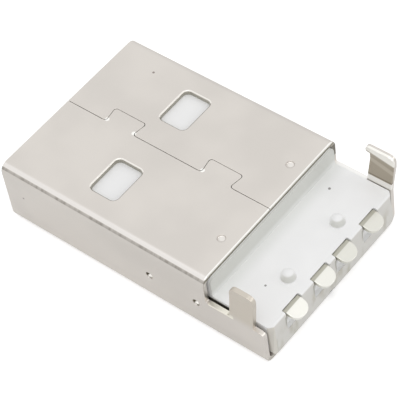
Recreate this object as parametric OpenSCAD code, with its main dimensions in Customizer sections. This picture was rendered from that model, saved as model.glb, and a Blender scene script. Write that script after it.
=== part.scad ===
// USB-A plug for a circuit board: a folded sheet-metal shell around one moulded
// insulator that holds four contacts.
// All sizes are in millimetres. X runs across the plug, Y runs back from the mating
// edge to the solder tails, and Z runs up from the flat back to the seamed side.
// The origin is the centre of the flat back.

/* [Shell] */
// Outer width of the shell
shell_w = 12; // [11:0.1:14]
// Outer height of the shell
shell_h = 4.5; // [4.3:0.05:5.2]
// Length of the shell along its flat back
shell_len = 18.55; // [18.2:0.05:22]
// Length of the seamed side, from the mating edge
roof_len = 14.65; // [13.5:0.05:14.9]
// Thickness of the sheet
sheet_t = 0.3; // [0.2:0.05:0.35]
// Outer radius of the four folds
fold_r = 0.55; // [0.4:0.05:0.8]
// Height of the board seat above the flat back
seat_h = 2.8; // [2.7:0.05:3.1]
// Step from the board seat down to the cut edge of the side walls
cut_drop = 0.15; // [0.05:0.05:0.3]
// Radius of the rear upper corner of each side wall
wall_end_r = 0.35; // [0.1:0.05:0.6]

/* [Windows] */
// Width of a spring window, across the plug
window_w = 2.6; // [2:0.1:3]
// Length of a spring window, along the plug
window_len = 1.9; // [1.5:0.1:2.5]
// Corner radius of a spring window
window_r = 0.35; // [0.1:0.05:0.6]
// Distance from the middle of the plug to the centre of a window
window_x = 3.07; // [2.6:0.01:3.6]
// Distance from the mating edge to the centre of a window
window_y = 6.24; // [4.5:0.01:6.8]

/* [Seam] */
// Gap left along the seam
seam_gap = 0.04; // [0.02:0.01:0.1]
// Distance from the middle of the plug to the seam
seam_x = 0.03; // [-0.3:0.01:0.3]
// Reach of each dovetail across the seam
dovetail_reach = 1.06; // [0.7:0.02:1.2]
// Width of a dovetail at its root
dovetail_root_w = 2; // [1.4:0.05:2.3]
// Flare of a dovetail on each side of its head
dovetail_flare = 0.17; // [0.05:0.01:0.3]
// Corner radius of a dovetail
dovetail_r = 0.22; // [0.1:0.01:0.3]
// Distance from the mating edge to the first dovetail
dovetail_first_y = 3.88; // [2.5:0.01:4.2]
// Distance between the two dovetails
dovetail_pitch = 6.99; // [6:0.01:8]

/* [Stakes] */
// Diameter of a stake pressed into the shell
stake_d = 0.52; // [0.4:0.02:0.7]
// Depth of a stake pressed into a side wall
side_stake_depth = 0.24; // [0.1:0.02:0.28]
// Depth of a stake pressed into the seamed side
roof_stake_depth = 0.08; // [0.04:0.02:0.16]
// Height of the side stakes above the flat back
side_stake_z = 2.07; // [1.2:0.01:2.3]
// Distance from the mating edge to the front side stake
side_stake_front_y = 10.6; // [10.5:0.05:11.5]
// Distance between the two side stakes
side_stake_pitch = 3.3; // [2.5:0.05:3.4]
// Distance from the middle of the plug to a roof stake
roof_stake_x = 3.1; // [2.4:0.05:4]
// Distance from the rear of the seamed side to a roof stake
roof_stake_inset = 0.95; // [0.6:0.05:1.5]

/* [Solder legs] */
// Width of a solder leg, along the plug
leg_w = 1.6; // [1.2:0.05:1.8]
// Height of the right leg above the board seat
right_leg_h = 2.65; // [2.3:0.05:3.4]
// Height of the left leg above the board seat
left_leg_h = 2.8; // [2.3:0.05:3.4]
// Forward reach of the hook at the left leg's tip
left_hook = 0.3; // [0:0.05:0.4]
// Corner radius at the tip of a leg
leg_r = 0.45; // [0.2:0.05:0.55]
// Radius at the root of a leg, on its front
leg_root_r = 0.2; // [0.05:0.05:0.3]
// Set of a leg's tip towards the rear
leg_rake = 0.3; // [0:0.05:0.4]
// Distance from the rear of the shell to the right leg
right_leg_gap = 0.7; // [0.5:0.05:1.2]
// Distance from the rear of the shell to the left leg
left_leg_gap = 0; // [0:0.05:1]
// Height above the board seat at which a leg leaves the plane of its wall
leg_bend_z = 0.35; // [0.2:0.05:0.6]
// Height above the board seat of a leg's knee
leg_knee_z = 1.8; // [1:0.05:1.9]
// Sideways set of the right leg's knee, outwards
right_knee_set = -0.02; // [-0.4:0.02:0.4]
// Sideways set of the right leg's tip, outwards
right_tip_set = 0.04; // [-0.4:0.02:0.4]
// Sideways set of the left leg's knee, outwards
left_knee_set = 0.12; // [-0.4:0.02:0.4]
// Sideways set of the left leg's tip, outwards
left_tip_set = 0; // [-0.4:0.02:0.4]

/* [Insulator] */
// Clearance between the insulator and the right side wall
right_clear = 0.16; // [0.02:0.01:0.2]
// Clearance between the insulator and the left side wall
left_clear = 0.03; // [0.02:0.01:0.2]
// Distance from the mating edge to the tongue
tongue_setback = 0.38; // [0.2:0.02:0.8]
// Thickness of the tongue
tongue_t = 1.84; // [1.7:0.02:1.95]
// Depth of the plug's mouth below the tongue
mouth_depth = 10.1; // [9:0.05:10.2]
// Gap from the rear of the seamed side to the step of the insulator
step_gap = 0.15; // [0.05:0.05:0.3]
// Reach of the insulator past the rear of the shell
block_over = 0.17; // [0:0.01:0.3]
// Chamfer on the insulator's upright rear corners
block_chamfer = 0.25; // [0.1:0.05:0.4]
// Chamfer on the tongue's front edge
tongue_chamfer = 0.25; // [0.1:0.05:0.4]
// Depth of the notch that each tail leaves through
notch_depth = 0.3; // [0.1:0.05:0.4]
// Height of the notch's foot above the shell's flat back
notch_foot = 1.3; // [0.8:0.1:2]
// Clearance on each side of a tail in its notch
notch_clear = 0.06; // [0.02:0.01:0.08]

/* [Pegs] */
// Diameter of a locating peg
peg_d = 0.9; // [0.8:0.05:1.3]
// Height of a locating peg above the board seat
peg_h = 0.55; // [0.4:0.05:0.9]
// Height of the domed top of a peg
peg_dome = 0.2; // [0.1:0.02:0.3]
// Distance from the middle of the plug to a peg
peg_x = 2.26; // [1.8:0.01:2.8]
// Distance from the insulator's rear face to a peg
peg_inset = 1.3; // [1.1:0.05:2]

/* [Contacts] */
// Thickness of a contact
contact_t = 0.25; // [0.2:0.01:0.3]
// Width of a contact on the tongue
contact_w = 1; // [0.8:0.05:1.1]
// Width of a tail where it leaves the insulator
tail_w = 1.3; // [1.1:0.05:1.4]
// Distance from the middle of the plug to an inner contact
inner_contact_x = 1; // [0.9:0.05:1.1]
// Distance from the middle of the plug to an outer contact
outer_contact_x = 3.5; // [3.3:0.05:3.8]
// Distance from the mating edge to the outer contacts' tips
outer_tip_y = 1.5; // [1.2:0.05:2]
// Distance from the mating edge to the inner contacts' tips
inner_tip_y = 2.5; // [2.2:0.05:3]
// Height by which the contacts stand proud of the tongue
contact_proud = 0.1; // [0.05:0.01:0.15]
// Thickness of the insulator left over the contacts at the seat
seat_skin = 0.1; // [0.06:0.01:0.2]
// Reach of a tail past the insulator's rear face
tail_reach = 0.72; // [0.5:0.01:0.8]
// Reach of a tail's flat crest past the insulator's rear face
crest_len = 0.02; // [0.02:0.02:0.3]
// Drop of a tail from its crest to its tip
tail_drop = 0.24; // [0.2:0.02:0.6]
// Width of a tail at its tip
tail_tip_w = 1.2; // [1.04:0.02:1.24]
// Corner radius of a tail's tip
tail_tip_r = 0.5; // [0.1:0.02:0.5]

/* [Hidden] */
$fn = 48;
eps = 0.01;
over = 1;
side_right = 1;
side_left = -1;

half_w = shell_w / 2;
inner_half_w = half_w - sheet_t;
roof_in_z = shell_h - sheet_t;
wall_cut_z = seat_h - cut_drop;
inner_fold_r = fold_r - sheet_t;
step_y = roof_len + step_gap;

block_right = inner_half_w - right_clear;
block_left = left_clear - inner_half_w;
block_len = shell_len + block_over;
block_fold_r = inner_fold_r + max(right_clear, left_clear);
tongue_z = roof_in_z - tongue_t;

rib_slot_w = 0.43;
rib_slot_h = 0.14;
rib_slot_depth = 0.2;
rib_slot_x = 0.05;

contact_z = tongue_z - contact_proud + contact_t / 2;
tail_z = seat_h - seat_skin - contact_t / 2;
tip_ramp = 0.5;
tip_rise = 0.35;
jog_setback = 1.4;
jog_y = mouth_depth + jog_setback;
jog_len = 1.2;
shoulder_len = 0.8;
hook_r = 0.25;
stake_draft = 0.02;
stake_fit = 0.02;

// Places a shape that is measured back from the mating edge.
module from_mouth() {
    translate([0, -shell_len / 2, 0]) children();
}

// Extrudes a profile drawn in X and Z back along the plug, from y0 to y1.
module along_y(y0, y1) {
    translate([0, y1, 0]) rotate([90, 0, 0]) linear_extrude(y1 - y0) children();
}

// Extrudes a profile drawn in Y and Z across the plug, from x0 to x1.
module across_x(x0, x1) {
    translate([x0, 0, 0]) rotate([90, 0, 90]) linear_extrude(x1 - x0) children();
}

// A rectangle with round corners, from one corner to the other.
module round_rect(low, high, r) {
    translate([low.x + r, low.y]) square([high.x - low.x - 2 * r, high.y - low.y]);
    translate([low.x, low.y + r]) square([high.x - low.x, high.y - low.y - 2 * r]);
    for (x = [low.x + r, high.x - r], y = [low.y + r, high.y - r])
        translate([x, y]) circle(r);
}

// One half of the seamed side, whose dovetails cross the seam, shrunk or grown by d.
module seam_half(d) {
    offset(delta = d) offset(r = dovetail_r) offset(r = -2 * dovetail_r) offset(r = dovetail_r)
        union() {
            translate([seam_x, -over]) square([half_w, roof_len + 2 * over]);
            for (i = [0, 1])
                translate([seam_x, dovetail_first_y + i * dovetail_pitch])
                    polygon([
                        [over / 2, dovetail_root_w / 2],
                        [0, dovetail_root_w / 2],
                        [-dovetail_reach, dovetail_root_w / 2 + dovetail_flare],
                        [-dovetail_reach, -dovetail_root_w / 2 - dovetail_flare],
                        [0, -dovetail_root_w / 2],
                        [over / 2, -dovetail_root_w / 2]
                    ]);
        }
}

// The seam, cut through the seamed side.
module seam_cut() {
    translate([0, 0, roof_in_z - eps]) linear_extrude(sheet_t + 2 * eps)
        difference() {
            seam_half(seam_gap / 2);
            seam_half(-seam_gap / 2);
        }
}

// The four spring windows, two through each wide side.
module window_cuts() {
    for (side = [side_left, side_right], z = [-eps, roof_in_z - eps])
        translate([side * window_x, window_y, z]) linear_extrude(sheet_t + 2 * eps)
            round_rect([-window_w / 2, -window_len / 2], [window_w / 2, window_len / 2], window_r);
}

// The rear of the tube, cut away above the board seat and rounded at the walls' ends.
module rear_cut() {
    across_x(-half_w - over, half_w + over) {
        translate([roof_len, wall_cut_z]) square([shell_len, shell_h]);
        difference() {
            translate([shell_len - wall_end_r, wall_cut_z - wall_end_r]) square(shell_h);
            translate([shell_len - wall_end_r, wall_cut_z - wall_end_r]) circle(wall_end_r);
        }
    }
}

// The sheet of a leg in X and Z: up the wall, out to the knee and back to the tip.
module leg_section(height, knee_set, tip_set) {
    bend = seat_h + leg_bend_z;
    knee = seat_h + leg_knee_z;
    tip = seat_h + height;
    polygon([
        [inner_half_w, wall_cut_z - wall_end_r - eps],
        [half_w, wall_cut_z - wall_end_r - eps],
        [half_w, bend],
        [half_w + knee_set, knee],
        [half_w + tip_set, tip],
        [inner_half_w + tip_set, tip],
        [inner_half_w + knee_set, knee],
        [inner_half_w, bend]
    ]);
}

// The outline of a leg in Y and Z, raked back, with a rounded root and a hook at its tip.
module leg_outline(height, hook) {
    root_z = wall_cut_z - wall_end_r - eps;
    corner_z = seat_h + height - leg_r;
    front_y = leg_rake - leg_w / 2;
    hull() {
        translate([-leg_w / 2, root_z]) square([leg_w, wall_end_r]);
        for (y = [leg_r - leg_w / 2, leg_w / 2 - leg_r])
            translate([y + leg_rake, corner_z]) circle(leg_r);
    }
    if (hook > 0)
        hull() {
            translate([front_y + hook_r - hook, seat_h + height - hook_r]) circle(hook_r);
            translate([front_y + leg_r, seat_h + height - hook_r]) circle(hook_r);
        }
    difference() {
        translate([-leg_w / 2 - leg_root_r, wall_cut_z - eps]) square(leg_root_r);
        translate([-leg_w / 2 - leg_root_r, wall_cut_z + leg_root_r - eps]) circle(leg_root_r);
    }
}

// A solder leg on one side wall.
module solder_leg(side, gap, height, knee_set, tip_set, hook) {
    reach = max(0, knee_set, tip_set) + over;
    mirror([side < 0 ? 1 : 0, 0, 0])
        translate([0, shell_len - gap - leg_w / 2, 0])
            intersection() {
                along_y(-leg_w, leg_w) leg_section(height, knee_set, tip_set);
                across_x(inner_half_w - over, half_w + reach) leg_outline(height, hook);
            }
}

// Runs its children at each of the four side stakes, pointing into the plug.
module at_side_stakes() {
    for (side = [side_left, side_right], i = [0, 1])
        translate([side * half_w, side_stake_front_y + i * side_stake_pitch, side_stake_z])
            rotate([0, -side * 90, 0]) children();
}

// Runs its children at each of the two roof stakes, pointing into the plug.
module at_roof_stakes() {
    for (side = [side_left, side_right])
        translate([side * roof_stake_x, roof_len - roof_stake_inset, shell_h])
            rotate([180, 0, 0]) children();
}

// The boss that a stake raises inside the shell.
module stake_boss(depth, grow = 0) {
    translate([0, 0, sheet_t - eps]) cylinder(d = stake_d + 2 * grow, h = depth + grow + eps);
}

// The dent that a stake leaves outside the shell.
module stake_dent(depth) {
    translate([0, 0, -eps]) cylinder(d = stake_d - 2 * stake_draft, h = depth + eps);
}

// The folded tube without its legs.
module tube() {
    difference() {
        along_y(0, shell_len) difference() {
            round_rect([-half_w, 0], [half_w, shell_h], fold_r);
            round_rect([-inner_half_w, sheet_t], [inner_half_w, roof_in_z], inner_fold_r);
        }
        rear_cut();
        window_cuts();
        seam_cut();
    }
}

module shell() {
    color([0.84, 0.82, 0.79]) from_mouth() difference() {
        union() {
            tube();
            solder_leg(side_right, right_leg_gap, right_leg_h, right_knee_set, right_tip_set, 0);
            solder_leg(side_left, left_leg_gap, left_leg_h, left_knee_set, left_tip_set, left_hook);
            at_side_stakes() stake_boss(side_stake_depth);
            at_roof_stakes() stake_boss(roof_stake_depth);
        }
        at_side_stakes() stake_dent(side_stake_depth);
        at_roof_stakes() stake_dent(roof_stake_depth);
    }
}

// A contact's strip in Y and Z, from its tip in the tongue to its tail.
module contact_section(tip_y) {
    route = [
        [tip_y, contact_z + tip_rise],
        [tip_y + tip_ramp, contact_z],
        [jog_y, contact_z],
        [jog_y + jog_len, tail_z],
        [block_len + crest_len, tail_z],
        [block_len + tail_reach, tail_z - tail_drop]
    ];
    for (i = [0 : len(route) - 2]) {
        step = route[i + 1] - route[i];
        translate(route[i]) rotate(atan2(step.y, step.x)) {
            translate([0, -contact_t / 2]) square([norm(step), contact_t]);
            if (i > 0) circle(d = contact_t);
        }
    }
}

// A contact's outline seen from above: a strip, a shoulder and a tapered tail.
module contact_outline(tip_y) {
    shoulder_y = block_len - shoulder_len;
    end_y = block_len + tail_reach + over;
    tip_centre_y = block_len + tail_reach - tail_tip_r;
    translate([-contact_w / 2, tip_y - over]) square([contact_w, shoulder_y - tip_y + over + eps]);
    hull() {
        translate([-tail_w / 2, shoulder_y]) square([tail_w, shoulder_len]);
        for (side = [side_left, side_right])
            translate([side * (tail_tip_w / 2 - tail_tip_r), tip_centre_y]) circle(tail_tip_r);
    }
}

module contact(x, tip_y) {
    translate([x, 0, 0]) intersection() {
        across_x(-tail_w, tail_w) contact_section(tip_y);
        translate([0, 0, -over]) linear_extrude(shell_h + 2 * over) contact_outline(tip_y);
    }
}

// The insulator's side view: tongue, rear block and board seat.
module insulator_section() {
    polygon([
        [tongue_setback, tongue_z + tongue_chamfer],
        [tongue_setback + tongue_chamfer, tongue_z],
        [mouth_depth, tongue_z],
        [mouth_depth, sheet_t],
        [block_len, sheet_t],
        [block_len, seat_h],
        [step_y, seat_h],
        [step_y, roof_in_z],
        [tongue_setback + tongue_chamfer, roof_in_z],
        [tongue_setback, roof_in_z - tongue_chamfer]
    ]);
}

// The insulator seen from above, with its rear corners chamfered.
module insulator_outline() {
    chamfer_y = block_len - block_chamfer;
    polygon([
        [block_left, 0],
        [block_right, 0],
        [block_right, chamfer_y],
        [block_right - block_chamfer, block_len],
        [block_left + block_chamfer, block_len],
        [block_left, chamfer_y]
    ]);
}

module peg(side) {
    dome_r = (pow(peg_d / 2, 2) + pow(peg_dome, 2)) / (2 * peg_dome);
    translate([side * peg_x, block_len - peg_inset, seat_h - eps]) {
        cylinder(d = peg_d, h = peg_h - peg_dome + eps);
        translate([0, 0, peg_h - peg_dome + eps]) intersection() {
            translate([0, 0, peg_dome - dome_r]) sphere(dome_r);
            translate([0, 0, -eps]) cylinder(d = peg_d, h = peg_dome + eps);
        }
    }
}

// The notch in the rear face that one tail leaves through.
module tail_notch(x) {
    notch_w = tail_w + 2 * notch_clear;
    translate([x - notch_w / 2, block_len - notch_depth, notch_foot])
        cube([notch_w, notch_depth + over, shell_h]);
}

module insulator() {
    color([0.93, 0.93, 0.92]) from_mouth() difference() {
        union() {
            intersection() {
                across_x(-half_w, half_w) insulator_section();
                along_y(0, block_len) round_rect([block_left, sheet_t], [block_right, roof_in_z], block_fold_r);
                linear_extrude(shell_h) insulator_outline();
            }
            peg(side_left);
            peg(side_right);
        }
        for (side = [side_left, side_right]) {
            contact(side * inner_contact_x, inner_tip_y);
            contact(side * outer_contact_x, outer_tip_y);
            tail_notch(side * inner_contact_x);
            tail_notch(side * outer_contact_x);
        }
        at_side_stakes() stake_boss(side_stake_depth, stake_fit);
        at_roof_stakes() stake_boss(roof_stake_depth, stake_fit);
        translate([rib_slot_x, block_len - rib_slot_depth, sheet_t]) cube([rib_slot_w, over, rib_slot_h]);
    }
}

module plated_contact(x, tip_y) {
    color([0.9, 0.9, 0.87]) from_mouth() contact(x, tip_y);
}

module power_contact() {
    plated_contact(outer_contact_x, outer_tip_y);
}

module data_minus_contact() {
    plated_contact(inner_contact_x, inner_tip_y);
}

module data_plus_contact() {
    plated_contact(-inner_contact_x, inner_tip_y);
}

module ground_contact() {
    plated_contact(-outer_contact_x, outer_tip_y);
}

shell();
insulator();
power_contact();
data_minus_contact();
data_plus_contact();
ground_contact();
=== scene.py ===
"""Models and finishes a board-mounted USB-A plug around its packed solids.

The file is laid out as a Blender add-on: property groups hold the sizes and colours,
one operator makes each piece or group of like pieces, and a panel lists them.
"""

import math
from types import SimpleNamespace

import bmesh
import bpy
from mathutils import Matrix, Vector


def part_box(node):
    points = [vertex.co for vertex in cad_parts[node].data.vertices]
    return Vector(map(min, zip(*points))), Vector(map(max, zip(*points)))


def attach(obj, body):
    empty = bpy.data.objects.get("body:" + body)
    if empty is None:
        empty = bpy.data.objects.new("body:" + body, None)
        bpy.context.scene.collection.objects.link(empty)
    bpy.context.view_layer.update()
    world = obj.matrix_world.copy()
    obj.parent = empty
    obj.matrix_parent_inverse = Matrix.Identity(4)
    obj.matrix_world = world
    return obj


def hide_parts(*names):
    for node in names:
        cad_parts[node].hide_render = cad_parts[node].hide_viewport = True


bl_info = {
    "name": "USB-A Plug",
    "version": (1, 0, 0),
    "blender": (4, 5, 0),
    "location": "3D View > Sidebar > USB-A Plug",
    "description": "Models and finishes a board-mounted USB-A plug",
    "category": "Mesh",
}

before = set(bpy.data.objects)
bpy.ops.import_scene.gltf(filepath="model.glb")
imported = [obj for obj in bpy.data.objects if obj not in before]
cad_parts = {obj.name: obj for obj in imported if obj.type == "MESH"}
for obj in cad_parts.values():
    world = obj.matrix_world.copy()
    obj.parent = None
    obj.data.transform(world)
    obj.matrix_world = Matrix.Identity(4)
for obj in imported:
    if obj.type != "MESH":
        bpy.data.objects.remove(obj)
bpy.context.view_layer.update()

MM = 0.001
RIGHT, LEFT = 1, -1
SHELL_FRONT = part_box("shell")[0].y / MM
BLOCK_LOW, BLOCK_HIGH = (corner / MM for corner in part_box("insulator"))
TAIL_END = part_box("power_contact")[1].y / MM

# Places in millimetres that the pieces share. Y runs from the middle of the flat back,
# and the stakes and contacts are placed from the mating edge.
CONTACTS = {
    "power_contact": 3.5,
    "data_minus_contact": 1.0,
    "data_plus_contact": -1.0,
    "ground_contact": -3.5,
}
SHELL_REAR = 9.275
BLOCK_Z = (0.3, 4.2)
STAKE_WALL_Y = (10.6, 13.9)
STAKE_WALL_Z = 2.07
STAKE_WALL_DEPTH = 0.24
STAKE_ROOF_X = 3.1
STAKE_ROOF_Y = 13.7
STAKE_ROOF_DEPTH = 0.08
OUTER_TIP = 1.5
INNER_TIP = 2.5
TIP_RAMP = 0.5
TIP_RISE = 0.35
JOG_Y = 11.5
JOG_LENGTH = 1.2
RIB_X = 0.05
RIB_HEIGHT = 0.14
RIB_DEPTH = 0.2

# Small sizes in millimetres: laps, clearances, rounds and the slack of a selection.
CLOSE = 0.004
OVER = 1
LEG_REACH = 0.5
LEG_SLACK = 0.06
LEG_SLANT = 0.25
HOOK_ROUND = 0.24
PRESS_ROUND = 0.2
PRESS_SHARE = 0.85
STAKE_LAP = 0.02
STAKE_DRAFT = 0.02
PEG_ROOT = 0.2
SHOULDER = 0.8
NECK = 0.02
TIP_LEAN = 0.04
TIP_SLACK = 0.05
TIP_REACH = 0.2
CHANNEL_GROW = 0.01

# Steps in a round
FOLD_STEPS = 8
CORNER_STEPS = 6
EDGE_STEPS = 2
ROUND_STEPS = 32
DOME_STEPS = 6
BEND_STEPS = 4

# Stretch of the noises along each axis, and the softness of a mark's edge in millimetres
GRAIN = (9, 0.35, 9)
BEADS = (0.2, 3, 0.2)
STREAKS = (1.1, 1.1, 0.5)
HARD, FIRM, SOFT, VAGUE = 0.02, 0.03, 0.05, 0.1

# Edges and faces that turn by more than these angles are sharp.
SHARP = math.radians(35)
CREASED = math.radians(40)

# The studio, in metres and watts
LAMPS = (
    ("overhead", (0.06, 0.05, 0.36), 0.20, 0.20),
    ("rear strip", (-0.132, 0.231, 0.138), 0.10, 0.06),
)
LAMP_TARGET = (0, 0, 0.002)
FLOOR_SIZE = 2.0
SENSOR_WIDTH = 36
NEAREST = 0.01
WHITE = (1, 1, 1, 1)

# Depth of the surfaces' texture, in metres
TEXTURE_DEPTH = 0.004 * MM


# Mesh work. Pieces are modelled with one unit as a millimetre, because the mesh
# operators round off far below a tenth of a unit, and are brought to size at the end.


def only(*objects):
    """Selects these objects alone, and makes the first one active."""
    if bpy.context.object and bpy.context.object.mode != "OBJECT":
        bpy.ops.object.mode_set(mode="OBJECT")
    bpy.ops.object.select_all(action="DESELECT")
    for obj in objects:
        obj.select_set(True)
    if objects:
        bpy.context.view_layer.objects.active = objects[0]


def added(name):
    """The shape just added, with its place, turn and size in its mesh."""
    bpy.ops.object.transform_apply(location=True, rotation=True, scale=True)
    bpy.context.object.name = name
    return bpy.context.object


def add_box(name, low, high):
    """A box between two corners, selected and active."""
    only()
    low, high = Vector(low), Vector(high)
    bpy.ops.mesh.primitive_cube_add(size=1, location=(low + high) / 2, scale=high - low)
    return added(name)


def add_round(name, radius, start, end, sides):
    """A cylinder from one point to another, selected and active."""
    only()
    start, end = Vector(start), Vector(end)
    axis = end - start
    turn = axis.to_track_quat("Z", "Y").to_euler()
    bpy.ops.mesh.primitive_cylinder_add(
        vertices=sides, radius=radius, depth=axis.length, location=(start + end) / 2, rotation=turn
    )
    return added(name)


def edit(obj):
    """Opens one object alone in edit mode."""
    only(obj)
    bpy.ops.object.mode_set(mode="EDIT")


def close_edit():
    bpy.ops.object.mode_set(mode="OBJECT")


def near(place, slack=CLOSE):
    """A narrow range around a place."""
    return (place - slack, place + slack)


def choose(kind, x=None, y=None, z=None, facing=None, add=False):
    """Selects the vertices, edges or faces that lie wholly inside the given ranges."""
    bpy.ops.mesh.select_mode(type=kind)
    if not add:
        bpy.ops.mesh.select_all(action="DESELECT")
    shape = bmesh.from_edit_mesh(bpy.context.edit_object.data)
    items = {"VERT": shape.verts, "EDGE": shape.edges, "FACE": shape.faces}[kind]
    found = 0
    for item in items:
        points = [item] if kind == "VERT" else item.verts
        inside = all(
            ends[0] - CLOSE <= point.co[axis] <= ends[1] + CLOSE
            for point in points
            for axis, ends in enumerate((x, y, z))
            if ends
        )
        if inside and (facing is None or item.normal.dot(Vector(facing)) > 0.99):
            item.select_set(True)
            found += 1
    shape.select_flush_mode()
    bmesh.update_edit_mesh(bpy.context.edit_object.data)
    if not found:
        raise RuntimeError(f"no {kind} lies at x {x}, y {y}, z {z}")


def cut(axis, place):
    """Cuts the selected faces across one axis."""
    point, normal = Vector(), Vector()
    point[axis] = place
    normal[axis] = 1
    bpy.ops.mesh.bisect(plane_co=point, plane_no=normal, threshold=0.0001)


def round_off(radius, steps):
    """Rounds the selected edges."""
    bpy.ops.mesh.bevel(
        offset=radius, offset_type="OFFSET", segments=steps, profile=0.5, clamp_overlap=False
    )


def round_edges(radius, steps, *places):
    """Rounds the edges that lie in any of the places, each given as ranges along axes."""
    bpy.ops.mesh.select_all(action="DESELECT")
    for place in places:
        choose("EDGE", add=True, **place)
    round_off(radius, steps)


def pull(vector):
    """Extrudes the selection along a vector."""
    bpy.ops.mesh.extrude_region_move(TRANSFORM_OT_translate={"value": vector})


def pull_edges(vector):
    """Extrudes the selected edges along a vector."""
    bpy.ops.mesh.extrude_edges_move(TRANSFORM_OT_translate={"value": vector})


def modify(obj, kind, **settings):
    """Adds a modifier and applies it."""
    only(obj)
    modifier = obj.modifiers.new(kind.title(), kind)
    for name, value in settings.items():
        setattr(modifier, name, value)
    bpy.ops.object.modifier_apply(modifier=modifier.name)


def join(objects):
    """Joins separate shapes into the first one."""
    only(*objects)
    bpy.ops.object.join()
    return objects[0]


def combine(obj, tool, operation):
    """Adds, cuts or intersects a shape, then removes the shape used."""
    modify(obj, "BOOLEAN", operation=operation, object=tool, solver="EXACT")
    bpy.data.objects.remove(tool)


def soften(obj, width, steps):
    """Gives every sharp edge a small round."""
    settings = {"limit_method": "ANGLE", "angle_limit": SHARP, "miter_outer": "MITER_ARC"}
    modify(obj, "BEVEL", width=width, segments=steps, use_clamp_overlap=False, **settings)
    smooth(obj)


def smooth(obj):
    """Shades curved faces smooth and flat faces flat."""
    bpy.ops.object.shade_smooth_by_angle(angle=CREASED)
    modify(obj, "WEIGHTED_NORMAL", keep_sharp=True, weight=100)


def finish_piece(obj, name, replaced, material):
    """Brings a piece from millimetres to its real size and hands it to the frame."""
    obj.data.transform(Matrix.Scale(MM, 4))
    obj.matrix_world = Matrix.Identity(4)
    obj.name = name
    obj.data.name = name
    obj.data.materials.clear()
    obj.data.materials.append(material)
    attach(obj, "root")
    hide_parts(*replaced)


# Shader nodes


class Wire:
    """One output of a node. Arithmetic on it adds Math nodes to the same tree."""

    def __init__(self, graph, socket):
        self.graph = graph
        self.socket = socket

    def _math(self, operation, first, second):
        return self.graph.node("Math", {0: first, 1: second}, operation=operation)

    def __add__(self, other):
        return self._math("ADD", self, other)

    def __radd__(self, other):
        return self._math("ADD", other, self)

    def __sub__(self, other):
        return self._math("SUBTRACT", self, other)

    def __rsub__(self, other):
        return self._math("SUBTRACT", other, self)

    def __mul__(self, other):
        return self._math("MULTIPLY", self, other)

    def __rmul__(self, other):
        return self._math("MULTIPLY", other, self)


class Graph:
    """The node tree of a material or world, emptied and ready to build."""

    def __init__(self, owner):
        owner.use_nodes = True
        self.tree = owner.node_tree
        self.tree.nodes.clear()

    def node(self, kind, sockets=None, out=0, **settings):
        """Adds a node, sets it, fills its sockets and returns one output."""
        made = self.tree.nodes.new("ShaderNode" + kind)
        for name, value in settings.items():
            setattr(made, name, value)
        for name, value in (sockets or {}).items():
            if isinstance(value, Wire):
                self.tree.links.new(value.socket, made.inputs[name])
            else:
                made.inputs[name].default_value = value
        return Wire(self, made.outputs[out]) if made.outputs else None


def coordinates(graph, stretch=(1, 1, 1)):
    """Object coordinates in millimetres, stretched."""
    where = graph.node("TexCoord", out="Object")
    scale = [factor / MM for factor in stretch]
    return graph.node("Mapping", {"Vector": where, "Scale": scale})


def noise(where, scale, detail=2.0, roughness=0.5):
    """Noise from 0 to 1, with features about 1/scale across."""
    sockets = {"Vector": where, "Scale": scale, "Detail": detail, "Roughness": roughness}
    return where.graph.node("TexNoise", sockets)


def tint(factor, first, second):
    """Mixes two colours."""
    return factor.graph.node("Mix", {0: factor, 6: first, 7: second}, 2, data_type="RGBA")


def axes(where):
    """The three coordinates of a place."""
    parts = where.graph.node("SeparateXYZ", {0: where}).socket.node.outputs
    return [Wire(where.graph, part) for part in parts]


def function(operation, first, *others):
    """One Math node on up to three values."""
    values = dict(enumerate((first, *others)))
    return first.graph.node("Math", values, operation=operation)


# Masks: each is 1 where a mark lies and 0 elsewhere, with a soft edge between them.


def rise(value, low, high):
    """Runs smoothly from 0 at low to 1 at high."""
    sockets = {"Value": value, "From Min": low, "From Max": high}
    return value.graph.node("MapRange", sockets, interpolation_type="SMOOTHSTEP")


def fall(value, low, high):
    """Runs smoothly from 1 at low to 0 at high."""
    return 1 - rise(value, low, high)


def band(value, low, high, soft):
    """1 between low and high, fading to 0 over soft on both sides."""
    return rise(value, low - soft, low) * fall(value, high, high + soft)


def spot(point, middle, size):
    """1 inside a round spot, fading out over a third of its size."""
    parts = [function("POWER", value - at, 2.0) for value, at in zip(point, middle)]
    reach = function("SQRT", parts[0] + parts[1] + parts[2])
    return fall(reach, size * 0.67, size)


def outline(x, y, half_w, half_l, radius):
    """Distance outside a rounded rectangle about the origin."""
    out_x = function("MAXIMUM", function("ABSOLUTE", x) - (half_w - radius), 0.0)
    out_y = function("MAXIMUM", function("ABSOLUTE", y) - (half_l - radius), 0.0)
    return function("SQRT", out_x * out_x + out_y * out_y) - radius


def span(value, low, high, soft=None):
    """1 between two soft ends, or, with no soft given, a rise or a fall between them."""
    if soft is not None:
        return band(value, low, high, soft)
    return rise(value, low, high) if low < high else fall(value, high, low)


def both(*masks):
    """1 where each of the masks is 1."""
    return lambda *point: math.prod([mask(*point) for mask in masks[1:]], start=masks[0](*point))


def without(mask):
    """1 where a mask is 0."""
    return lambda *point: 1 - mask(*point)


def region(**ranges):
    """1 inside a range along each axis named, as given to span."""

    def mask(*point):
        parts = [
            span(value, *ranges[axis]) for value, axis in zip(point, "xyz") if axis in ranges
        ]
        return math.prod(parts[1:], start=parts[0])

    return mask


def dots(*spots):
    """1 inside round spots, each given by its middle and its size."""
    return lambda *point: sum(spot(point, middle, size) for middle, size in spots)


def marked(where, base, marks):
    """Lays marks over a base colour. Each has a name, a colour and a mask of x, y and z."""
    point = axes(where)
    for colour, mask in marks.values():
        base = tint(mask(*point), base, linear(colour))
    return base


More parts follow.
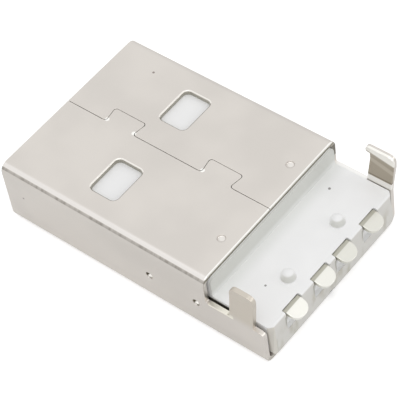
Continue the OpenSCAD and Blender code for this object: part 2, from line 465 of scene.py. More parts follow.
def surface(name, build):
    """A material whose shader comes from build(graph)."""
    material = bpy.data.materials.new(name)
    graph = Graph(material)
    graph.node("OutputMaterial", {"Surface": build(graph)})
    return material


def linear(colour):
    """A colour given as 0-255 display values, as Blender's linear values."""
    def one(value):
        value /= 255
        return value / 12.92 if value <= 0.04045 else ((value + 0.055) / 1.055) ** 2.4

    return (*(one(value) for value in colour), 1.0)


def shades(colour, darker, lighter):
    """A darker and a lighter shade of one colour."""
    return [(*(min(1, channel * shade) for channel in colour), 1) for shade in (darker, lighter)]


def finish(base, height, strength, **settings):
    """A surface with a colour and a fine texture."""
    bump = {"Height": height, "Strength": strength, "Distance": TEXTURE_DEPTH}
    normal = base.graph.node("Bump", bump)
    sockets = {"Base Color": base, "Normal": normal, **settings}
    return base.graph.node("BsdfPrincipled", sockets)


def nickel(name, colour, marks):
    """Satin plating on rolled sheet, with its marks."""

    def build(graph):
        where = coordinates(graph)
        grain = noise(coordinates(graph, GRAIN), 1.0, 3.0)
        fine = noise(where, 9.0, 3.0, 0.6)
        clouds = rise(noise(where, 0.22), 0.35, 0.65)
        base = marked(where, tint(clouds, *shades(colour, 0.965, 1.03)), marks)
        roughness = 0.30 + 0.08 * grain + 0.04 * fine
        return finish(base, grain + 0.6 * fine, 0.12, Roughness=roughness, Metallic=1.0)

    return surface(name, build)


def moulding(name, colour, marks):
    """White moulded plastic, with its marks."""

    def build(graph):
        where = coordinates(graph)
        fine = noise(where, 14.0, 3.0, 0.6)
        clouds = rise(noise(where, 0.35), 0.3, 0.7)
        base = marked(where, tint(clouds, *shades(colour, 0.97, 1)), marks)
        return finish(base, fine, 0.1, Roughness=0.42 + 0.12 * fine)

    return surface(name, build)


def number(name, text, value, **settings):
    """A number property."""
    return bpy.props.FloatProperty(name=name, description=text, default=value, **settings)


def shift(name, text, value, **settings):
    """A length that may be negative, with its default given in millimetres."""
    return number(name, text, value * MM, unit="LENGTH", precision=5, **settings)


def length(name, text, value):
    """A length, with its default given in millimetres."""
    return shift(name, text, value, min=0)


def angle(name, text, value):
    """An angle, with its default given in degrees."""
    return number(name, text, math.radians(value), subtype="ANGLE")


def share(name, text, value):
    """A number from 0 to 1."""
    return number(name, text, value, subtype="FACTOR", min=0, max=1)


def in_mm(group):
    """The sizes of a group in millimetres, with its colours as they are."""
    values = {name: getattr(group, name) for name in type(group).__annotations__}
    sizes = {name: value / MM for name, value in values.items() if isinstance(value, float)}
    return SimpleNamespace(**{**values, **sizes})


def paint(name, text, value):
    """A colour property, with its default given as display values."""
    settings = {"subtype": "COLOR", "size": 3, "min": 0, "max": 1}
    return bpy.props.FloatVectorProperty(
        name=name, description=text, default=linear(value)[:3], **settings
    )


class UsbPlugShell(bpy.types.PropertyGroup):
    """Sizes and colour of the folded shell."""

    width: length("Width", "Outer width of the shell", 12)
    height: length("Height", "Outer height of the shell", 4.5)
    roof: length("Seamed side", "Length of the seamed side, from the mating edge", 14.65)
    sheet: length("Sheet", "Thickness of the sheet", 0.3)
    fold: length("Fold radius", "Outer radius of the four folds", 0.55)
    cut: length("Cut height", "Height of the cut edge of the side walls", 2.65)
    wall_end: length("Wall end", "Radius of the rear upper corner of a side wall", 0.35)
    window_width: length("Window width", "Width of a window, across the plug", 2.6)
    window_length: length("Window length", "Length of a window, along the plug", 1.9)
    window_round: length("Window radius", "Corner radius of a window", 0.35)
    window_side: length("Window offset", "Distance from the middle to a window", 3.07)
    window_back: length("Window setback", "Distance from the mating edge to a window", 6.24)
    seam_side: length("Seam offset", "Distance from the middle of the plug to the seam", 0.03)
    seam_gap: length("Seam gap", "Gap left along the seam", 0.016)
    dovetail_reach: length("Dovetail reach", "Reach of a dovetail across the seam", 1.06)
    dovetail_root: length("Dovetail root", "Width of a dovetail at its root", 2)
    dovetail_flare: length("Dovetail flare", "Flare on each side of a head", 0.17)
    dovetail_round: length("Dovetail radius", "Corner radius of a dovetail", 0.22)
    dovetail_first: length("First dovetail", "Its distance from the mating edge", 3.88)
    dovetail_pitch: length("Dovetail pitch", "Distance between the two dovetails", 6.99)
    stake: length("Stake", "Diameter of a stake", 0.52)
    rollover: length("Rollover", "Round that the punch leaves around a window", 0.08)
    edge: length("Edge round", "Round left on the cut edges", 0.035)
    colour: paint("Nickel", "Colour of the satin nickel plating", (218, 213, 207))


class UsbPlugLegs(bpy.types.PropertyGroup):
    """Sizes of the two solder legs. Heights are above the shell's flat back."""

    width: length("Width", "Width of a leg, along the plug", 1.6)
    rake: length("Rake", "Set of a leg's tip towards the rear", 0.3)
    tip_round: length("Tip radius", "Corner radius at a leg's tip", 0.45)
    root_round: length("Root radius", "Radius in front of a leg's root", 0.2)
    bend: length("Bend", "Height at which a leg leaves its wall", 3.15)
    knee: length("Knee", "Height of a leg's knee", 4.6)
    right_height: length("Right height", "Height of the right leg", 5.45)
    left_height: length("Left height", "Height of the left leg", 5.6)
    right_gap: length("Right gap", "Distance from the shell's rear to the right leg", 0.7)
    right_knee: shift("Right knee", "Outward set of the right leg's knee", -0.02)
    right_tip: shift("Right tip", "Outward set of the right leg's tip", 0.04)
    left_knee: shift("Left knee", "Outward set of the left leg's knee", 0.12)
    hook: length("Hook", "Forward reach of the hook at the left leg's tip", 0.3)
    hook_height: length("Hook height", "Height of the hook", 0.5)


class PLUG_OT_shell(bpy.types.Operator):
    """Folds the shell from one sheet, with its seam, windows, stakes and solder legs"""

    bl_idname = "usb_plug.shell"
    bl_label = "Shell"

    def execute(self, context):
        shell, legs = in_mm(context.scene.usb_plug_shell), in_mm(context.scene.usb_plug_legs)
        self.half, self.top = shell.width / 2, shell.height
        self.front, self.rear = SHELL_FRONT, SHELL_REAR
        self.roof_rear = self.front + shell.roof
        self.cut_z, self.sheet = shell.cut, shell.sheet
        self.roof = near(self.top)
        obj = add_box("shell", (-self.half, self.front, 0), (self.half, self.rear, self.top))
        edit(obj)
        self.fold(shell)
        self.cut_windows(shell)
        self.cut_seam(shell)
        foot = (0, legs.bend)
        right_path = (foot, (legs.right_knee, legs.knee), (legs.right_tip, legs.right_height))
        left_path = (foot, (legs.left_knee, legs.knee), (0, legs.left_height))
        self.pull_leg(legs, RIGHT, legs.right_gap, right_path)
        self.pull_leg(legs, LEFT, 0, left_path)
        self.pull_hook(legs)
        close_edit()
        modify(obj, "SOLIDIFY", thickness=self.sheet, offset=-1, use_even_offset=True)
        edit(obj)
        self.round_flat_sides(shell)
        self.round_walls(shell, legs)
        close_edit()
        self.press_stakes(obj, shell)
        soften(obj, shell.edge, EDGE_STEPS)
        metal = nickel("satin nickel", shell.colour, self.marks(shell))
        finish_piece(obj, "shell_sheet", ["shell"], metal)
        return {"FINISHED"}

    def marks(self, shell):
        """Painted light and shade on the plating: highlights and shades on edges, rims, stakes and
        legs, a painted reflection of the dark horizon along the fold, and specks.
        """
        top, half, cut_z = self.top, self.half, self.cut_z
        rear, roof_rear = self.rear, self.roof_rear
        inner = self.sheet - half
        on_roof = (roof_rear + 0.1, roof_rear)
        past_roof = (roof_rear + 0.1, roof_rear + 0.2)
        roof_end = (roof_rear, roof_rear + 0.01, HARD)
        below_top = (top - 0.03, top - 0.06)
        window_half = shell.window_width / 2, shell.window_length / 2
        window_middle = shell.window_side, self.front + shell.window_back
        stake_y = [self.front + y for y in STAKE_WALL_Y]

        def from_window(x, y):
            side = function("ABSOLUTE", x) - window_middle[0]
            return outline(side, y - window_middle[1], *window_half, shell.window_round)

        def window_wall_shade(x, y, z):
            return span(z, *below_top) * fall(from_window(x, y), 0.05, 0.07)

        def window_ring(low, high):
            skin = (top - 0.07, top - 0.05)
            return lambda x, y, z: band(from_window(x, y), low, high, FIRM) * rise(z, *skin)

        def far_side(x, y, z):
            side = function("ABSOLUTE", x) - window_middle[0]
            return rise(side * function("SIGN", x) * 0.75 + (y - window_middle[1]), -0.05, 0.05)

        def beads(x, y, z):
            return 0.6 + 0.4 * rise(noise(coordinates(x.graph, BEADS), 1.0, 2.0), 0.4, 0.65)

        def stake_top(x, y, z):
            second = function("GREATER_THAN", y, sum(stake_y) / 2)
            along = y - stake_y[0] - second * (stake_y[1] - stake_y[0])
            return rise(0.8 * (z - STAKE_WALL_Z) - 0.6 * along, -0.1, 0.02)

        def leg_height(*ends):
            return lambda x, y, z: span(z + LEG_SLANT * (y - rear), *ends)

        wall_stakes = both(
            dots(*(((half - 0.1, y, STAKE_WALL_Z), 0.42) for y in stake_y)),
            region(x=(half - 0.02, half - 0.06)),
        )
        roof_stake_y = self.front + STAKE_ROOF_Y
        roof_stake_x = [side * STAKE_ROOF_X - 0.05 for side in (LEFT, RIGHT)]
        roof_stakes = dots(*(((x, roof_stake_y, top - 0.08), 0.2) for x in roof_stake_x))
        seam_corners = self.seam_corners[:5:2]
        leg_face = region(x=(inner - 0.14, inner + 0.5, HARD), y=past_roof, z=(2.7, 2.9))
        marks = {}
        # Painted highlight along the near fold of the roof.
        marks["fold light"] = (232, 228, 224), region(
            x=(half - 0.7, half - 0.3), y=on_roof, z=(top - 0.12, top - 0.03, FIRM)
        )
        # Painted reflection of the dark horizon along the near fold, broken into beads.
        marks["rubbed line"] = (158, 153, 146), both(
            region(x=(half - 0.5, half - 0.4), y=on_roof, z=(top - 0.25, top - 0.17, SOFT)),
            beads,
        )
        # Painted shade on the cut walls around each window.
        marks["window cut"] = (176, 173, 163), window_wall_shade
        # Painted highlight on the near rims of the windows, and painted shade on their far rims.
        marks["window light"] = (242, 239, 233), both(window_ring(0.05, 0.09), without(far_side))
        marks["window shade"] = (150, 147, 138), both(window_ring(0, 0.05), far_side)
        # Painted glints at the corners of the seam.
        marks["seam light"] = (255, 254, 250), dots(
            *(((x - 0.12, y, top), 0.16) for x, y in seam_corners)
        )
        # Painted shade in the upper part of each wall stake, and a painted highlight in its lower
        # part.
        marks["stake shade"] = (95, 90, 78), both(wall_stakes, stake_top)
        marks["stake light"] = (255, 252, 246), both(wall_stakes, without(stake_top))
        marks["specks"] = (150, 140, 135), dots(
            ((-4.37, -6.45, top), 0.09), ((half, -7.92, 2.54), 0.08)
        )
        # Painted highlight inside the roof stakes.
        marks["roof stakes"] = (234, 230, 225), both(roof_stakes, region(z=below_top))
        # Painted shade at the far rear corner of the roof.
        marks["far corner"] = (120, 116, 106), region(
            x=(0.7 - half, 0.6 - half), y=roof_end, z=(3.3, 4.1, VAGUE)
        )
        # Painted shade on the rear cut edge of the flat back.
        marks["base edge"] = (196, 192, 184), region(y=(rear - 0.04, rear), z=(0.4, 0.3))
        marks["rib shade"] = (80, 77, 70), region(
            x=(RIB_X, 0.48, HARD), y=(rear - 0.2, rear - 0.18), z=(0.4, 0.32)
        )
        # Painted highlights on the cut rims of the side walls and on the rear edge of the roof.
        marks["right rim"] = (255, 252, 240), region(
            x=(half - 0.4, half - 0.34),
            y=(roof_rear + 0.2, rear - 2.075, VAGUE),
            z=(cut_z - 0.06, cut_z + 0.2, FIRM),
        )
        marks["left rim"] = (246, 245, 242), region(
            x=(0.4 - half, 0.34 - half),
            y=(roof_rear + 0.05, rear - 1.65, SOFT),
            z=(cut_z - 0.3, cut_z + 0.1, VAGUE),
        )
        marks["roof rim"] = (255, 254, 250), both(
            region(y=(roof_rear - 0.09, roof_rear - 0.05)),
            region(y=(roof_rear + 0.03, roof_rear + 0.01), z=(top - 0.08, top + 1, FIRM)),
        )
        # Painted shade under the rear edge of the roof.
        marks["roof cut"] = (150, 146, 132), region(y=roof_end, z=(top - 0.3, top - 0.14, HARD))
        # Painted shade on the right leg and the inside of the left leg, painted reflections on the
        # left leg's bend, tip and foot, and a painted shade line above its foot.
        marks["right leg"] = (207, 200, 189), region(x=(5, 5.2), y=past_roof, z=(2.4, 3.2))
        marks["left leg"] = (174, 165, 150), leg_face
        marks["leg bend"] = (192, 184, 170), both(leg_face, leg_height(4.15, 4.35, 0.12))
        marks["leg tip"] = (250, 248, 242), both(leg_face, leg_height(4.75, 4.95))
        marks["leg foot"] = (244, 242, 238), both(leg_face, region(z=(3.34, 3.26)))
        marks["leg line"] = (142, 134, 120), both(leg_face, region(z=(3.36, 3.42, SOFT)))
        return marks

    def fold(self, shell):
        """Opens both ends, rounds the folds and cuts the seamed side short."""
        for end in (self.front, self.rear):
            choose("FACE", y=near(end))
            bpy.ops.mesh.delete(type="ONLY_FACE")
        corners = ((x, z) for x in (-self.half, self.half) for z in (0, self.top))
        folds = ({"x": near(x), "z": near(z)} for x, z in corners)
        round_edges(shell.fold, FOLD_STEPS, *folds)
        bpy.ops.mesh.select_all(action="SELECT")
        cut(1, self.roof_rear)
        choose("FACE", y=(self.roof_rear, self.rear))
        cut(2, self.cut_z)
        choose("FACE", y=(self.roof_rear, self.rear), z=(self.cut_z, self.top))
        bpy.ops.mesh.delete(type="FACE")

    def cut_windows(self, shell):
        """Cuts the four spring windows."""
        half_w, half_l = shell.window_width / 2, shell.window_length / 2
        middle, back = shell.window_side, self.front + shell.window_back
        self.window_x = (middle - half_w, middle + half_w)
        self.window_y = (back - half_l, back + half_l)
        for z in (0, self.top):
            flat = {"z": near(z), "facing": (0, 0, 1 if z else -1)}
            for side in (LEFT, RIGHT):
                for x in self.window_x:
                    choose("FACE", **flat)
                    cut(0, side * x)
            for y in self.window_y:
                choose("FACE", **flat)
                cut(1, y)
            for side in (LEFT, RIGHT):
                choose("FACE", x=sorted(side * x for x in self.window_x), y=self.window_y, **flat)
                bpy.ops.mesh.delete(type="FACE")

    def cut_seam(self, shell):
        """Cuts the seam with its two dovetails, and leaves a narrow gap."""
        root_x = shell.seam_side
        head_x = root_x - shell.dovetail_reach
        root, flare = shell.dovetail_root / 2, shell.dovetail_flare
        first = self.front + shell.dovetail_first
        middles = (first, first + shell.dovetail_pitch)
        between = (-self.window_x[0], self.window_x[0])
        self.seam_corners = []
        for x in (root_x, head_x):
            choose("FACE", x=between, z=self.roof)
            cut(0, x)
        for middle in middles:
            for side in (-1, 1):
                y = middle + side * root
                choose("FACE", x=(head_x, root_x), z=self.roof)
                cut(1, y)
                choose("VERT", x=near(head_x), y=near(y), z=self.roof)
                bpy.ops.transform.translate(value=(0, side * flare, 0))
                self.seam_corners += [(root_x, y), (head_x, y + side * flare)]
        bpy.ops.mesh.select_all(action="DESELECT")
        ends = (self.front, *(m + side * root for m in middles for side in (-1, 1)), self.roof_rear)
        for run in zip(ends[::2], ends[1::2]):
            choose("EDGE", x=near(root_x), y=run, z=self.roof, add=True)
        for middle in middles:
            head = (middle - root - flare, middle + root + flare)
            choose("EDGE", x=near(head_x), y=head, z=self.roof, add=True)
            for side in (-1, 1):
                slant = sorted((middle + side * root, middle + side * (root + flare)))
                choose("EDGE", x=(head_x, root_x), y=slant, z=self.roof, add=True)
        round_off(shell.seam_gap / 2, 1)
        bpy.ops.mesh.select_mode(type="FACE")
        bpy.ops.mesh.delete(type="FACE")

    def pull_leg(self, legs, side, gap, path):
        """Pulls a solder leg up from the cut edge of one side wall, through its bends."""
        wall = near(side * self.half)
        back = self.rear - gap
        start = back - legs.width
        for y in (start, back):
            if y < self.rear - CLOSE:
                choose("FACE", x=wall, y=(self.roof_rear, self.rear))
                cut(1, y)
        choose("EDGE", x=wall, y=(start, back), z=near(self.cut_z))
        rise_z = path[-1][1] - self.cut_z
        out, z = 0.0, self.cut_z
        for next_out, next_z in path:
            step = next_z - z
            pull_edges((side * (next_out - out), legs.rake * step / rise_z, step))
            out, z = next_out, next_z

    def pull_hook(self, legs):
        """Pulls the hook forward from the left leg's tip."""
        tip = legs.left_height
        low = tip - legs.hook_height
        leg = {"x": near(-self.half, LEG_REACH)}
        choose("FACE", z=(legs.knee, tip), **leg)
        cut(2, low)
        start = self.rear - legs.width
        choose("EDGE", y=(start, start + legs.rake), z=(low, tip), **leg)
        pull_edges((0, -legs.hook, 0))

    def round_flat_sides(self, shell):
        """Rounds the corners of the windows and of the dovetails."""
        back, roof = (0, self.sheet), (self.top - self.sheet, self.top)
        corners = [
            {"x": near(side * x), "y": near(y)}
            for side in (LEFT, RIGHT)
            for x in self.window_x
            for y in self.window_y
        ]
        for z in (back, roof):
            round_edges(shell.window_round, CORNER_STEPS, *({**at, "z": z} for at in corners))
        sides = [sorted(side * x for x in self.window_x) for side in (LEFT, RIGHT)]
        for face in (0, self.top):
            rims = ({"x": across, "y": self.window_y, "z": near(face)} for across in sides)
            round_edges(shell.rollover, EDGE_STEPS + 1, *rims)
        slack = shell.seam_gap
        teeth = [{"x": near(x, slack), "y": near(y, slack)} for x, y in self.seam_corners]
        round_edges(shell.dovetail_round, CORNER_STEPS, *({**at, "z": roof} for at in teeth))

    def round_walls(self, shell, legs):
        """Rounds the corners of the side walls and of the legs."""
        width, rake = legs.width, legs.rake
        left_start = self.rear - width
        right_back = self.rear - legs.right_gap
        right_start = right_back - width
        left_tip, right_tip = legs.left_height, legs.right_height
        hook = left_tip - legs.hook_height
        tip, root = legs.tip_round, legs.root_round
        hook_y = left_start + rake - legs.hook
        for side, y, z, radius in (
            (RIGHT, self.rear, self.cut_z, shell.wall_end),
            (RIGHT, right_start, self.cut_z, root),
            (LEFT, left_start, self.cut_z, root),
            (RIGHT, right_start + rake, right_tip, tip),
            (RIGHT, right_back + rake, right_tip, tip),
            (LEFT, self.rear + rake, left_tip, tip),
            (LEFT, hook_y, left_tip, HOOK_ROUND),
            (LEFT, hook_y, hook, HOOK_ROUND),
        ):
            wall = near(side * self.half, LEG_REACH)
            corner = {"x": wall, "y": near(y, LEG_SLACK), "z": near(z, LEG_SLACK)}
            round_edges(radius, CORNER_STEPS, corner)

    def press_stakes(self, obj, shell):
        """Presses the stakes: a dent outside and its boss inside."""
        radius = shell.stake / 2
        bosses, dents = [], []
        for face, inward, depth in self.stake_places():
            skin = face + inward * (self.sheet - STAKE_LAP)
            bottom = face + inward * depth
            peak = bottom + inward * self.sheet
            bosses.append(add_round("boss", radius, skin, peak, ROUND_STEPS))
            outside = face - inward
            dents.append(add_round("dent", radius - STAKE_DRAFT, outside, bottom, ROUND_STEPS))
            edit(dents[-1])
            axis = 0 if inward.x else 2
            hollow = min(PRESS_ROUND, PRESS_SHARE * depth)
            round_edges(hollow, CORNER_STEPS, {"xyz"[axis]: near(bottom[axis])})
            close_edit()
        combine(obj, join(bosses), "UNION")
        combine(obj, join(dents), "DIFFERENCE")

    def stake_places(self):
        """Each stake's centre on the sheet, its direction into the plug and its depth."""
        for side in (LEFT, RIGHT):
            for y in STAKE_WALL_Y:
                at = Vector((side * self.half, self.front + y, STAKE_WALL_Z))
                yield at, Vector((-side, 0, 0)), STAKE_WALL_DEPTH
            at = Vector((side * STAKE_ROOF_X, self.front + STAKE_ROOF_Y, self.top))
            yield at, Vector((0, 0, -1)), STAKE_ROOF_DEPTH


class UsbPlugInsulator(bpy.types.PropertyGroup):
    """Sizes and colour of the moulded insulator. Heights are above the shell's flat back."""

    tongue: length("Tongue height", "Height of the tongue's underside", 2.36)
    seat: length("Seat height", "Height of the board seat", 2.8)
    mouth: length("Mouth depth", "Depth of the mouth below the tongue", 10.1)
    step: length("Step", "Distance from the mating edge to the step", 14.8)
    fold: length("Long round", "Round along the outer edges", 0.41)
    chamfer: length("Chamfer", "Chamfer at the rear corners and the tongue's front", 0.25)
    notch: length("Notch", "Depth of the notch that each tail leaves through", 0.3)
    notch_foot: length("Notch foot", "Height of the foot of each notch", 1.3)
    notch_width: length("Notch width", "Width of each notch", 1.42)
    rib: length("Rib slot", "Width of the slot at the foot of the rear face", 0.43)
    peg: length("Peg", "Diameter of a locating peg", 0.9)
    peg_height: length("Peg height", "Height of a peg above the seat", 0.55)
    peg_dome: length("Peg round", "Round at the top of a peg", 0.42)
    peg_side: length("Peg offset", "Distance from the middle of the plug to a peg", 2.26)
    peg_inset: length("Peg inset", "Distance from the rear face to a peg", 1.3)
    edge: length("Edge round", "Round on the moulded edges", 0.04)
    rear_round: length("Rear round", "Round from the board seat to the rear face", 0.15)
    colour: paint("Plastic", "Colour of the moulding", (249, 249, 249))


class PLUG_OT_insulator(bpy.types.Operator):
    """Moulds the insulator: tongue, rear block, board seat, pegs and contact channels"""

    bl_idname = "usb_plug.insulator"
    bl_label = "Insulator"

    def execute(self, context):
        sizes = in_mm(context.scene.usb_plug_insulator)
        low, high = BLOCK_LOW.copy(), BLOCK_HIGH.copy()
        low.z, high.z = BLOCK_Z
        seat, tongue = sizes.seat, sizes.tongue
        mouth_y = SHELL_FRONT + sizes.mouth
        step_y = SHELL_FRONT + sizes.step
        obj = add_box("insulator", (low.x, mouth_y, low.z), (high.x, step_y, high.z))
        edit(obj)
        for z in (tongue, seat):
            bpy.ops.mesh.select_all(action="SELECT")
            cut(2, z)
        choose("FACE", y=near(mouth_y), z=(tongue, high.z))
        pull((0, low.y - mouth_y, 0))
        choose("FACE", y=near(step_y), z=(low.z, seat))
        pull((0, high.y - step_y, 0))
        fold, chamfer = sizes.fold, sizes.chamfer
        rear = {"y": near(high.y)}
        sides = [{"x": near(x)} for x in (low.x, high.x)]
        folds = ({**side, "z": near(z)} for side in sides for z in (low.z, high.z))
        round_edges(fold, FOLD_STEPS, *folds)
        round_edges(chamfer, 1, *({**side, **rear, "z": (low.z + fold, seat)} for side in sides))
        round_edges(sizes.rear_round, BEND_STEPS, {**rear, "z": near(seat)})
        round_edges(chamfer, 2, *({"y": near(low.y), "z": near(z)} for z in (tongue, high.z)))
        close_edit()
        for side in (LEFT, RIGHT):
            self.add_peg(obj, sizes, side * sizes.peg_side, high.y - sizes.peg_inset)
        contacts = in_mm(context.scene.usb_plug_contacts)
        strips = [strip(contacts, x, CHANNEL_GROW) for x in CONTACTS.values()]
        combine(obj, join(strips), "DIFFERENCE")
        notch_half = sizes.notch_width / 2
        notches = [
            add_box(
                "notch",
                (x - notch_half, high.y - sizes.notch, sizes.notch_foot),
                (x + notch_half, high.y + OVER, high.z),
            )
            for x in CONTACTS.values()
        ]
        combine(obj, join(notches), "DIFFERENCE")
        soften(obj, sizes.edge, EDGE_STEPS)
        slot_low = (RIB_X, high.y - RIB_DEPTH, low.z - OVER)
        slot_high = (RIB_X + sizes.rib, high.y + OVER, low.z + RIB_HEIGHT)
        combine(obj, add_box("slot", slot_low, slot_high), "DIFFERENCE")
        smooth(obj)
        plastic = moulding("white moulding", sizes.colour, self.marks(sizes, high, step_y))
        finish_piece(obj, "insulator_moulding", ["insulator"], plastic)
        return {"FINISHED"}

    def marks(self, sizes, high, step_y):
        """Painted shade on the step, at its foot, on the rear face and its corner, on the pegs, in
        the notches, the rib slot and the gap beside the shell; with stains and specks.
        """
        seat = sizes.seat
        below_seat = (seat, seat - 0.1)
        rear = region(y=(high.y - 0.06, high.y), z=below_seat)

        def streaks(x, y, z):
            return rise(noise(coordinates(x.graph, STREAKS), 1.0, 3.0), 0.48, 0.68)

        def corner(x, y, z):
            chamfered = high.x + high.y - 0.3
            return rise(x + y, chamfered - 0.03, chamfered + 0.03) * span(z, *below_seat)

        def notch_sides(x, y, z):
            return sum(band(x, middle + 0.35, middle + 0.7, 0.2) for middle in CONTACTS.values())

        def notch_walls(x, y, z):
            return rise(z, 1.4, 2.1) * fall(z, 2.45, 2.55) * rise(y, high.y - 0.4, high.y - 0.3)

        def peg_shade(x, y, z):
            side = band(z, seat + 0.14, seat + 0.4, 0.1) * rise(y, step_y + 0.5, step_y + 0.6)
            out = function("ABSOLUTE", x) - sizes.peg_side
            away = out * function("SIGN", x) + y - (high.y - sizes.peg_inset)
            return side * rise(away, -0.1, 0.4)

        marks = {}
        # Painted shade on the seat at the foot of the step, on the step and on the rear face.
        marks["foot"] = (236, 237, 235), region(y=(step_y + 1, step_y), z=(seat + 0.5, seat))
        marks["step"] = (218, 219, 214), region(
            y=(step_y - 0.1, step_y + 0.05, HARD), z=(seat, seat + 0.5)
        )
        marks["rear"] = (224, 222, 217), rear
        marks["stain"] = (204, 201, 190), both(rear, streaks, region(z=(2.4, 1.2)))
        # Painted shade on the chamfered rear corner.
        marks["corner"] = (224, 220, 211), corner
        marks["peg shade"] = (216, 216, 211), peg_shade
        # Painted shade in the gap beside the shell.
        marks["gap"] = (90, 85, 75), region(
            x=(high.x - 0.1, high.x - 0.02), y=(7.4, 6.6), z=(seat - 0.1, seat - 0.25)
        )
        marks["specks"] = (150, 148, 146), dots(
            ((3.37, 7.434, seat), 0.08), ((-3.97, 6.351, seat), 0.1)
        )
        # Painted shade in the notches under the tails, and in the rib slot.
        marks["notches"] = (150, 147, 134), both(notch_sides, notch_walls)
        marks["rib slot"] = (90, 86, 78), region(
            x=(RIB_X, RIB_X + sizes.rib, HARD),
            y=(high.y - 0.3, high.y - 0.03, HARD),
            z=(0.46, 0.44),
        )
        return marks

    def add_peg(self, obj, sizes, x, y):
        """Stands a domed peg on the board seat."""
        seat, top = sizes.seat, sizes.seat + sizes.peg_height
        foot = (x, y, seat - PEG_ROOT)
        peg = add_round("peg", sizes.peg / 2, foot, (x, y, top), ROUND_STEPS)
        edit(peg)
        round_edges(sizes.peg_dome, DOME_STEPS, {"z": near(top)})
        close_edit()
        combine(obj, peg, "UNION")


class UsbPlugContacts(bpy.types.PropertyGroup):
    """Sizes and colour of the four contacts. Heights are above the shell's flat back."""

    thickness: length("Thickness", "Thickness of a contact", 0.25)
    width: length("Width", "Width of a contact on the tongue", 1)
    tail_width: length("Tail width", "Width of a tail where it leaves the insulator", 1.3)
    tip_width: length("Tip width", "Width of a tail at its tip", 1.2)
    tip_round: length("Tip radius", "Corner radius of a tail's tip", 0.5)
    low: length("Contact height", "Height of a contact's middle on the tongue", 2.385)
    high: length("Tail height", "Height of a tail's middle at its crest", 2.575)
    drop: length("Tail drop", "Drop of a tail from its crest to its tip", 0.24)
    crest: length("Crest", "Length of the crest past the insulator", 0.02)
    bend: length("Bend radius", "Radius of the bends", 0.12)
    edge: length("Edge round", "Round on the cut edges", 0.03)
    colour: paint("Tin", "Colour of the bright tin plating", (240, 239, 232))


def strip(sizes, x, grow=0.0):
    """One contact at its place across the plug, thicker and wider by grow."""
    outer = abs(x) == CONTACTS["power_contact"]
    tip = SHELL_FRONT + (OUTER_TIP if outer else INNER_TIP)
    low, high = sizes.low, sizes.high
    rear, end = BLOCK_HIGH.y, TAIL_END - TIP_LEAN
    half = sizes.width / 2 + grow
    only()
    bpy.ops.mesh.primitive_plane_add(size=1)
    obj = bpy.context.object
    start, jog = tip + TIP_RAMP, SHELL_FRONT + JOG_Y
    obj.scale = (2 * half, jog - start, 1)
    obj.location = (x, (jog + start) / 2, low)
    added("contact")
    edit(obj)
    choose("EDGE", y=near(start))
    pull_edges((0, -TIP_RAMP, TIP_RISE))
    choose("EDGE", y=near(jog))
    pull_edges((0, JOG_LENGTH, high - low))
    shoulder = rear - SHOULDER
    pull_edges((0, shoulder - jog - JOG_LENGTH, 0))
    pull_edges((0, NECK, 0))
    widen = (sizes.tail_width / 2 + grow) / half
    bpy.ops.transform.resize(value=(widen, 1, 1), center_override=(x, 0, 0))
    crest = rear + sizes.crest
    pull_edges((0, crest - shoulder - NECK, 0))
    pull_edges((0, end - crest, -sizes.drop))
    narrow = sizes.tip_width / sizes.tail_width
    bpy.ops.transform.resize(value=(narrow, 1, 1), center_override=(x, 0, 0))
    round_edges(sizes.bend, BEND_STEPS, {"y": near(crest), "z": near(high)})
    close_edit()
    thickness = sizes.thickness + 2 * grow
    modify(obj, "SOLIDIFY", thickness=thickness, offset=0, use_even_offset=True)
    edit(obj)
    half_tip = sizes.tip_width / 2 + grow
    tail_end = high - sizes.drop
    for side in (LEFT, RIGHT):
        corner = {"x": near(x + side * half_tip, TIP_SLACK), "y": near(end, TIP_REACH)}
        round_edges(sizes.tip_round, CORNER_STEPS, {**corner, "z": near(tail_end, TIP_REACH)})
    close_edit()
    return obj


class PLUG_OT_contacts(bpy.types.Operator):
    """Bends the four contacts from plated strip"""

    bl_idname = "usb_plug.contacts"
    bl_label = "Contacts"

    def execute(self, context):
        sizes = in_mm(context.scene.usb_plug_contacts)
        rear = BLOCK_HIGH.y
        # The tails on the left side are darker, and each strip is darker just inside the rear face.
        marks = {
            "darker tails": ((225, 224, 216), region(x=(0, -0.3))),
            "crest": ((186, 184, 172), region(y=(rear - 0.4, rear - 0.1, 0.08))),
        }
        metal = nickel("bright tin", sizes.colour, marks)
        for node, x in CONTACTS.items():
            obj = strip(sizes, x)
            soften(obj, sizes.edge, EDGE_STEPS)
            finish_piece(obj, node + "_strip", [node], metal)
        return {"FINISHED"}


class UsbPlugStudio(bpy.types.PropertyGroup):
    """Camera, floor and light of the studio."""

    focal: number("Focal length", "Lens of the camera", 167.287, unit="CAMERA", min=1)
    distance: length("Distance", "Distance from the camera to its target", 104.97)
    target: bpy.props.FloatVectorProperty(
        name="Target",
        description="Point that the camera looks at",
        default=(0.000207, 0.000303, 0.002),
        unit="LENGTH",
        subtype="XYZ",
        size=3,
        precision=6,
    )
    azimuth: angle("Azimuth", "Turn of the camera from the rear to the right side", 43.999)
    elevation: angle("Elevation", "Height of the camera above the horizon", 50.2)
    roll: angle("Roll", "Turn of the camera about its view", -9.824)
    paper: share("Paper", "How much of the light the floor sends back", 0.8)
    floor_seen: share("Floor, seen", "Light of its own that the camera sees in the floor", 0.5)
    floor_mirrored: share("Floor, mirrored", "Light of its own that mirrors see in it", 0.2)
    ambient: share("Ambient", "Light of the room all round", 0.75)
    sheen: share("Sheen", "Light that mirrors see low on the right", 0.12)
    dusk: share("Dusk", "Light that mirrors lose near the horizon", 0.4)


def look(place, target, roll):
    """The matrix of a camera or lamp at a place, aimed at a target."""
    aim = (Vector(target) - Vector(place)).to_track_quat("-Z", "Y").to_matrix().to_4x4()
    return Matrix.Translation(place) @ aim @ Matrix.Rotation(roll, 4, "Z")


def ray(graph, kind):
    """1 for one kind of ray and 0 for the others."""
    return graph.node("LightPath", out=f"Is {kind} Ray")


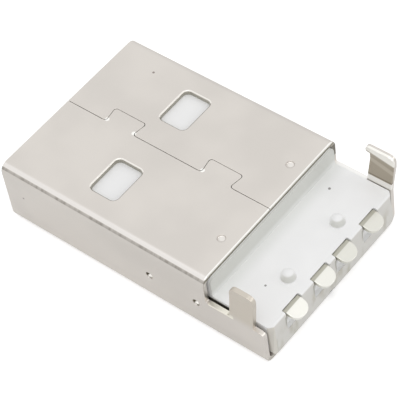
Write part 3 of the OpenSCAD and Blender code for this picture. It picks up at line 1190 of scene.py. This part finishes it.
class PLUG_OT_stage(bpy.types.Operator):
    """Makes the floor, the lamps, the world and the camera"""

    bl_idname = "usb_plug.stage"
    bl_label = "Stage"

    def execute(self, context):
        studio = context.scene.usb_plug_studio
        self.lay_floor(context, studio)
        self.light_world(context, studio)
        for name, place, size, power in LAMPS:
            lamp = bpy.data.lights.new(name, "AREA")
            lamp.size = size
            lamp.energy = power
            self.stand(context, name, lamp, look(place, LAMP_TARGET, 0))
        camera = bpy.data.cameras.new("camera")
        camera.lens = studio.focal
        camera.sensor_width = SENSOR_WIDTH
        camera.clip_start = NEAREST
        level, up = math.cos(studio.elevation), math.sin(studio.elevation)
        away = Vector((level * math.sin(studio.azimuth), level * math.cos(studio.azimuth), up))
        target = Vector(studio.target)
        view = look(target + studio.distance * away, target, studio.roll)
        context.scene.camera = self.stand(context, "camera", camera, view)
        context.scene.view_settings.view_transform = "Standard"
        return {"FINISHED"}

    def stand(self, context, name, data, matrix):
        """Puts a lamp or camera in the scene."""
        holder = bpy.data.objects.new(name, data)
        context.scene.collection.objects.link(holder)
        holder.matrix_world = matrix
        return holder

    def lay_floor(self, context, studio):
        """Lays a floor of pale paper that the camera sees a little brighter than it is lit."""
        only()
        bpy.ops.mesh.primitive_plane_add(size=FLOOR_SIZE)
        floor = context.object
        floor.name = "floor"

        def build(graph):
            mirrored = ray(graph, "Glossy") + ray(graph, "Transmission")
            glow = studio.floor_seen * ray(graph, "Camera") + studio.floor_mirrored * mirrored
            paper = graph.node("BsdfDiffuse", {"Color": (*[studio.paper] * 3, 1)})
            light = graph.node("Emission", {"Color": WHITE, "Strength": glow})
            return graph.node("AddShader", {0: paper, 1: light})

        floor.data.materials.append(surface("floor paper", build))

    def light_world(self, context, studio):
        """Lights the room evenly, white behind the plug, with a soft pattern for mirrors."""
        world = context.scene.world or bpy.data.worlds.new("studio")
        context.scene.world = world
        graph = Graph(world)
        glossy = ray(graph, "Glossy")
        seen = ray(graph, "Camera") + glossy + ray(graph, "Transmission")
        across, _, height = axes(graph.node("TexCoord", out="Generated"))
        dusk = studio.dusk * fall(height, 0.02, 0.22)
        sheen = studio.sheen * band(height, 0.2, 0.45, 0.2) * rise(across, 0.4, 0.8)
        strength = studio.ambient + (1 - studio.ambient) * seen + glossy * (sheen - dusk)
        light = graph.node("Background", {"Color": WHITE, "Strength": strength})
        graph.node("OutputWorld", {"Surface": light})


GROUPS = {
    "usb_plug_shell": UsbPlugShell,
    "usb_plug_legs": UsbPlugLegs,
    "usb_plug_insulator": UsbPlugInsulator,
    "usb_plug_contacts": UsbPlugContacts,
    "usb_plug_studio": UsbPlugStudio,
}
OPERATORS = (PLUG_OT_shell, PLUG_OT_insulator, PLUG_OT_contacts, PLUG_OT_stage)


class PLUG_PT_sidebar(bpy.types.Panel):
    """Lists the pieces with their sizes and colours"""

    bl_idname = "PLUG_PT_sidebar"
    bl_label = "USB-A Plug"
    bl_space_type = "VIEW_3D"
    bl_region_type = "UI"
    bl_category = "USB-A Plug"

    def draw(self, context):
        for operator in OPERATORS:
            self.layout.operator(operator.bl_idname)
        for name, group in GROUPS.items():
            box = self.layout.box()
            box.label(text=group.__doc__.split(".")[0])
            for prop in group.__annotations__:
                box.prop(getattr(context.scene, name), prop)


CLASSES = (*GROUPS.values(), *OPERATORS, PLUG_PT_sidebar)


def register():
    for item in CLASSES:
        bpy.utils.register_class(item)
    for name, group in GROUPS.items():
        setattr(bpy.types.Scene, name, bpy.props.PointerProperty(type=group))


def unregister():
    for name in GROUPS:
        delattr(bpy.types.Scene, name)
    for item in reversed(CLASSES):
        bpy.utils.unregister_class(item)


def main():
    register()
    bpy.ops.usb_plug.shell()
    bpy.ops.usb_plug.insulator()
    bpy.ops.usb_plug.contacts()
    bpy.ops.usb_plug.stage()


if __name__ == "__main__":
    main()
